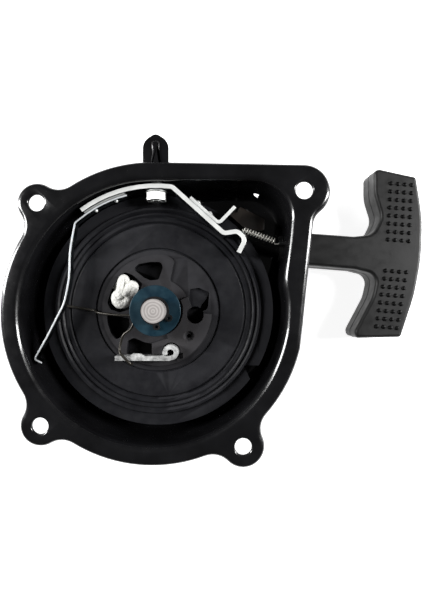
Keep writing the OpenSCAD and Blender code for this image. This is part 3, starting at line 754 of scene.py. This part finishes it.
def drain_tool():
    x, y = DRAIN_HALF
    turned = [(u * math.cos(DRAIN_ANGLE) - v * math.sin(DRAIN_ANGLE),
               u * math.sin(DRAIN_ANGLE) + v * math.cos(DRAIN_ANGLE))
              for u, v in ((-x, -y), (x, -y), (x, y), (-x, y))]
    v, f = stack([(DRAIN_C[0] + p, DRAIN_C[1] + q) for p, q in turned], DRAIN_Z)
    return raw("tool", v, f)


def cover_shell():
    """Bowl and flange as one closed sheet, lofted from the boss out to the rim and back."""
    edge = flange_outline()
    angles = [math.atan2(*(p - BOWL_C)[::-1]) for p in edge]

    def flat(points, z):
        return [np.array([p[0], p[1], z]) for p in points]

    def ring(grow, z):
        return flat([BOWL_C + bowl_radius(a, grow) * np.array([math.cos(a), math.sin(a)]) for a in angles], z)

    def circle(r, z):
        return [np.array([r * math.cos(a), r * math.sin(a), z]) for a in angles]

    def bend(r, g, z, a0, a1, n):
        """Rings round a quarter bend of radius r centred at growth g and height z."""
        return [ring(g + r * math.cos(a), z + r * math.sin(a)) for a in np.radians(np.linspace(a0, a1, n))]

    rings = [circle(r, z) for r, z in BOSS_FRONT]
    rings += [ring(-8, FLOOR_Z)] + bend(BOTTOM_R, -BOTTOM_R, FLOOR_Z + BOTTOM_R, 270, 360, 8)
    rings += [ring(0, z) for z in WALL_RINGS]
    rings += bend(FOLD_R, FOLD_R, -FOLD_R, 180, 90, 7)
    rings += [flat(inset(edge, d), z) for d, z in RIM]
    rings += [ring(FOLD_R + 0.4, -SHEET)] + bend(FOLD_R - SHEET, FOLD_R, -FOLD_R, 90, 180, 5)[1:]
    rings += [ring(SHEET, z) for z in WALL_RINGS[::-1]]
    rings += bend(BOTTOM_R + SHEET, -BOTTOM_R, FLOOR_Z + BOTTOM_R, 360, 270, 8)
    rings += [circle(r, z) for r, z in BOSS_BACK]
    v, f = loft(rings + rings[:1], ends=False)
    obj = make("cover_shell", v, f, K["black"], None)
    cut(obj, [bolt_hole_tool(*lug) for lug in LUGS] + [
        rod_tool(on_pull(-6), on_pull(2.4), GUIDE_HOLE_R),
        rod_tool((0, 47, BOLT_Z), (0, 60, BOLT_Z), BOLT_HOLE_R, 24),
        rod_tool((50, PIN_Y, SPRING_Z), (62, PIN_Y, SPRING_Z), PIN_HOLE_R, 24),
        drain_tool(),
    ])
    shade(obj, True, 42)
    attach(obj, "cover")
    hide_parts("housing", "mounting_lugs")


def cover_tab():
    """The tab behind the top edge, and its pressed rib, which is slimmer in the middle."""
    left, right = TAB_X - TAB_HALF, TAB_X + TAB_HALF
    edge = rounded([(left, TAB_FOOT, 0), (right, TAB_FOOT, 0), (right, TAB_SHOULDER, 6),
                    (TAB_X, TAB_TIP, 2.6), (left, TAB_SHOULDER, 6)], step=8)
    v, f = stack(edge, (-2 * SHEET, -SHEET))
    tab = make("cover_tab", v, f, K["black"], None)
    round_edges(tab, 0.35, 3)
    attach(tab, "cover")

    side = spline([(2.9, 58.6), (2.4, 61.4), (1.75, 65), (1.5, 67.6), (1.75, 70), (1.6, 71.2), (0, 71.9)], 4)
    side += [np.array([-p[0], p[1]]) for p in side[-2::-1]]
    rib = [p + np.array([TAB_X, 0]) for p in side]
    slope = ((-0.2, -0.3), (0, 0), (0.22, 0.42), (0.5, 0.62), (0.85, 0.68))
    v, f = loft([[(*p, h - SHEET) for p in inset(rib, d)] for d, h in slope])
    make("cover_tab_rib", v, f, K["black"], "cover", sharp=60)


def corner_shelf():
    """The flat-topped shelf with sloping sides in the corner, clear of the reel."""
    def outline(grow):
        pts = [(34.6, 48.2 + grow, 1.2), (48.2 + grow, 41.4, 1.5), (47.8 + grow, 36.2, 1), (41, 36.2, 0)]
        beside_reel = arc((0, 0), 53.9, 42, 54, 8)
        return rounded(pts, step=12)[:-1] + beside_reel

    slope = ((1.2, -28), (0.4, -16.8), (0.1, -16.15), (-0.4, -15.98))
    v, f = loft([[(*p, z) for p in outline(grow)] for grow, z in slope])
    make("cover_corner_shelf", v, f, K["shelf"], "cover", sharp=50)


cover_shell()
cover_tab()
corner_shelf()


# ---- Turned and plated pieces that keep their CAD form, with rounded edges ----

# CAD node, piece, look and width of the rounding, then its segments and least angle where they differ
SHAFT_AND_REEL = (
    ("center_shaft", "shaft", "shaft", 0.3),
    ("shaft_backing_washer", "shaft_washer_back", "dull", 0.2),
    ("reel_thrust_washer", "thrust_washer", "dull", 0.15),
    ("retaining_washer", "retaining_washer_blue", "blue", 0.2),
    ("circlip", "circlip_clip", "clip", 0.15),
    ("reel", "reel_moulding", "reel", 0.35, 3),
    ("reel_bush", "bush", "bronze", 0.15),
    ("spring_cover", "spring_cover_plate", "dull", 0.15),
    ("spring_cover_rivets", "cover_rivets", "dull", 0.12),
    ("recoil_spring", "recoil_spring_strip", "tempered", 0.05, 1),
    ("rope_guide", "rope_eyelet", "grip", 0.35, 3),
)
PAWL_LEVER_AND_REST = (
    ("pawl", "pawl_plate", "pawl", 0.25),
    ("lock_lever", "lever_plate", "zinc", 0.3),
    ("lever_bracket", "bracket_plate", "zinc", 0.25),
    ("lever_bracket_rivets", "bracket_rivet_heads", "zinc", 0.05, 1, 60),
    ("leaf_spring", "leaf_strip", "leaf", 0.15),
    ("leaf_clamp_plate", "clamp_plate", "dull", 0.2),
    ("leaf_spring_rivets", "leaf_rivet_heads", "zinc", 0.05, 1, 60),
    ("lever_pivot_bolt", "pivot_bolt", "dull", 0.3),
    ("lever_washer", "pivot_washer", "dull", 0.15),
    ("lever_nut", "pivot_nut", "zinc", 0.35),
    ("spring_anchor_pin", "anchor_pin", "clip", 0.2),
    ("handle_washer", "knot_washer", "dull", 0.15),
)
# pieces whose upright sides get painted shade
DARK_SIDED = ("lock_lever", "lever_bracket", "leaf_spring")


def soften_all(rows):
    for node, name, look, *rounding in rows:
        obj = softened(node, name, K[look], *rounding)
        if node in DARK_SIDED:
            dark_sides(obj, K["plate_side"])


def sleeve_mouth_and_shade():
    """The end of the rope guide's sleeve, which reaches in between the reel's flanges; this dark tube is also
    painted shade, hiding the white rope where it lies in shadow.
    """
    v, f, uv = tube([(46, 31.2, ROPE_Z), (40.6, 32.8, ROPE_Z)], 3.1, 20)
    make("rope_sleeve_mouth_and_shade", v, f, K["grip"], "cover", uv=uv, sharp=40)


soften_all(SHAFT_AND_REEL)
sleeve_mouth_and_shade()
soften_all(PAWL_LEVER_AND_REST)


# ---- Springs ----

def friction_wire():
    """The drag arm, two turns round the reel's boss, and the arm that hooks the pawl."""
    mean_r, low, high = 9.2, -6.0, -4.4
    first, step, steps = 196, 30, 24
    drag = [(-41.2, 2, -11.9), (-33.5, 0.8, -11.8), (-28.2, -0.1, -11.6), (-26, -1, -9.6), (-18, -1.9, -7.4)]
    turns = []
    for i in range(steps + 1):
        a = math.radians(first + i * step)
        turns.append((mean_r * math.cos(a), mean_r * math.sin(a), low + (high - low) * i / steps))
    hook = [(-10.5, -7.6, -4.6), (-13.9, -10.4, -5.3), (-15.4, -14.4, -6), (-15.7, -16.8, -6),
            (-15.4, -18.2, -5.2), (-14.6, -19.2, -4.9), (-11.6, -22.2, -4.9), (-10.9, -23.1, -5.6),
            (-10.6, -23.3, -8)]
    obj = wire("friction_wire", spline(drag + turns + hook, 4), 0.55, K["drag"], "friction_spring_body", 12)
    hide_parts("friction_spring")


def return_coil():
    """The lever's return spring, from its hook on the lever to the pin in the wall."""
    wire_r, turns, per = 0.27, 12, 16
    a, b = SPRING_START, SPRING_END
    t = unit(b - a)
    n = np.cross(t, [0, 0, 1])
    m = np.cross(n, t)
    body = [a + (b - a) * (-0.06 + 1.02 * i / (turns * per))
            + SPRING_R * (math.cos(2 * math.pi * i / per) * n + math.sin(2 * math.pi * i / per) * m)
            for i in range(turns * per + 1)]
    head = [a - 1.4 * t - 0.4 * n, a - 0.8 * t + 0.6 * n, a + 0.2 * t + 1.0 * n]
    tail = [b - 0.1 * t + 1.1 * n, b + 0.9 * t + 0.7 * n, b + 1.6 * t - 0.3 * n]
    v, f, uv = tube(head + body + tail, wire_r, 8)
    obj = make("return_coil", v, f, K["spring"], None, uv=uv, sharp=60)
    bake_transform(obj)
    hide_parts("return_spring")


friction_wire()
return_coil()


# ---- Rope ----

def rope():
    # turns wound in the groove, side by side and on each other
    steps = 120
    for i, (r, z, dr, dz) in enumerate([(33.3, -18.9, 0, -3.0), (37.0, -20.4, 0.2, -2.2)]):
        path = []
        for k in range(steps + 1):
            a, grown = -2 * math.pi * k / steps, r + dr * k / steps
            path.append((grown * math.cos(a), grown * math.sin(a), z + dz * k / steps))
        obj = wire(f"rope_turn_{i}", path, ROPE_R - 0.1, K["rope"], "reel_assembly", 14)
        if i == 0:
            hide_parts("rope_wound")

    # the last turn leaves the reel, bends at the guide and runs to the handle
    last_turn = [(WIND_R * math.cos(a), WIND_R * math.sin(a), ROPE_Z)
                 for a in np.radians(np.linspace(110, 74.4, 8))]
    bend = [(26, 36.7, ROPE_Z), (41, 32.5, ROPE_Z), (52, 29.3, ROPE_Z), (56, 28.4, ROPE_Z)]
    pull = [on_pull(u) for u in np.linspace(0.5, 48, 40)]
    v, f, uv = tube(spline(last_turn + bend, 4) + pull, ROPE_R, 16)
    obj = make("rope_to_handle", v, f, K["rope_lead"], None, uv=uv, sharp=60)
    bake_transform(obj)
    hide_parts("rope_lead")


def knot():
    """A stopper knot seen end on: a round turn with two tucked loops, and the end that runs to the groove."""
    c = np.array([-15.6, 5.3, -10.4])
    turn = [c + np.array([2.5 * math.cos(a), 2.5 * math.sin(a), 0.9 * math.sin(a / 2)])
            for a in np.linspace(0.5, 2 * math.pi + 0.9, 40)]
    obj = wire("rope_knot_turn", turn, 2.15, K["rope"], "reel_assembly", 18)
    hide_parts("rope_knot")
    core = [c + np.array([0, 0, -1.6]), c + np.array([0.2, 0.2, 1.0])]
    wire("rope_knot_core", core, [1.8, 1.2], K["rope"], "reel_assembly", 18)
    up = [(-16.5, 5.5, -8.9), (-16.1, 9.5, -8.2), (-15.6, 13, -8.6), (-14.6, 14.3, -9.1), (-13.6, 12.9, -9.6),
          (-13.6, 8.5, -10.6)]
    wire("rope_knot_loop_up", spline(up, 6), 1.6, K["rope"], "reel_assembly", 16)
    side = [(-14.6, 6.6, -9.4), (-13.4, 9.4, -9.2), (-11.6, 11.2, -9.4), (-10.2, 10.6, -9.8),
            (-10.8, 8.8, -10.4), (-12.8, 6.6, -11)]
    wire("rope_knot_loop_side", spline(side, 6), 2.0, K["rope"], "reel_assembly", 16)
    down = [(-16.4, 8.6, -13.2), (-18.8, 10.6, -15.4), (-22.6, 12.9, -17.2), (-25.6, 14.7, -18.5)]
    wire("rope_knot_end", spline(down, 6), 2.0, K["rope"], "reel_assembly", 14)


def handle_end_knot():
    """The stopper knot in the grip, a three-lobed loop about the pull's line."""
    steps = 96
    loop = []
    for k in range(steps + 1):
        t = 2 * math.pi * k / steps * 0.97
        r = 1.75 + 0.7 * math.cos(3 * t)
        loop.append(on_pull(KNOT_U + 0.9 * math.sin(3 * t), r * math.cos(2 * t), r * math.sin(2 * t)))
    obj = wire("rope_end_knot", loop, 1.9, K["rope"], "handle", 14)
    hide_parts("handle_knot")


rope()
knot()
handle_end_knot()


# ---- Handle ----

def grip():
    """The T-shaped moulding, its bores for the rope and the knot, and the parting seam round it."""
    half, stem = GRIP_HALF, STEM_HALF
    pts = [(0.9, -stem, 1.5), (30, -stem, 3), (39.9, -8.9, 5), (38.6, -19, 14), (31.6, -35.3, 3),
           (32.6, -half - 0.7, 2), (52.6, -half + 1.3, 1.5), (57.3, -17, 60), (59.1, 0, 70), (58.2, 18, 60),
           (53.9, half - 1.4, 1.5), (34.6, half + 1.3, 2.5), (35.6, 27, 20), (39.6, 17, 7), (36.6, 8.8, 6),
           (28, stem, 3), (0.9, stem, 1.5)]
    edge = rounded(pts, step=5)
    v, f = loft([[on_pull(*p, z) for p in edge] for z in (-GRIP_TOP, GRIP_TOP)])
    obj = raw("handle_moulding", v, f)
    round_edges(obj, 1.5, 4, 60)
    cut(obj, [rod_tool(on_pull(-2), on_pull(49), ROPE_R + 0.4, 32),
              rod_tool(on_pull(47), on_pull(66), 5.0, 40)])
    shade(obj, True, 50)
    obj.data.materials.clear()
    obj.data.materials.append(K["grip"])
    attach(obj, "handle")
    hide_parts("handle_grip")
    seam = [on_pull(*p) for p in inset(edge, 0.12)]
    wire("handle_seam", seam + seam[:1], 0.28, K["grip"], "handle", 6)


def pip_rings(u, v, side):
    return [[on_pull(u + r * math.cos(a), v + r * math.sin(a), (GRIP_TOP + h) * side)
             for a in np.linspace(0, 2 * math.pi, 12, endpoint=False)] for r, h in PIP_RINGS]


def pips():
    """Small moulded pips on both faces of both arms, in rows that lean with the grip's back."""
    verts, faces = [], []
    arms = ((1, -0.6), (-1, -2.1))
    for side, (arm, lean), row, col in product((1, -1), arms, range(PIP_ROWS), range(PIP_COLS)):
        u = 43.2 + PIP_COL_GAP * col + lean * row / (PIP_ROWS - 1)
        v = arm * (7.0 + PIP_ROW_GAP * row)
        pip_verts, pip_faces = loft(pip_rings(u, v, side))
        faces += [tuple(i + len(verts) for i in face) for face in pip_faces]
        verts += pip_verts
    make("handle_pips", verts, faces, K["pip"], "handle", sharp=50)


grip()
pips()
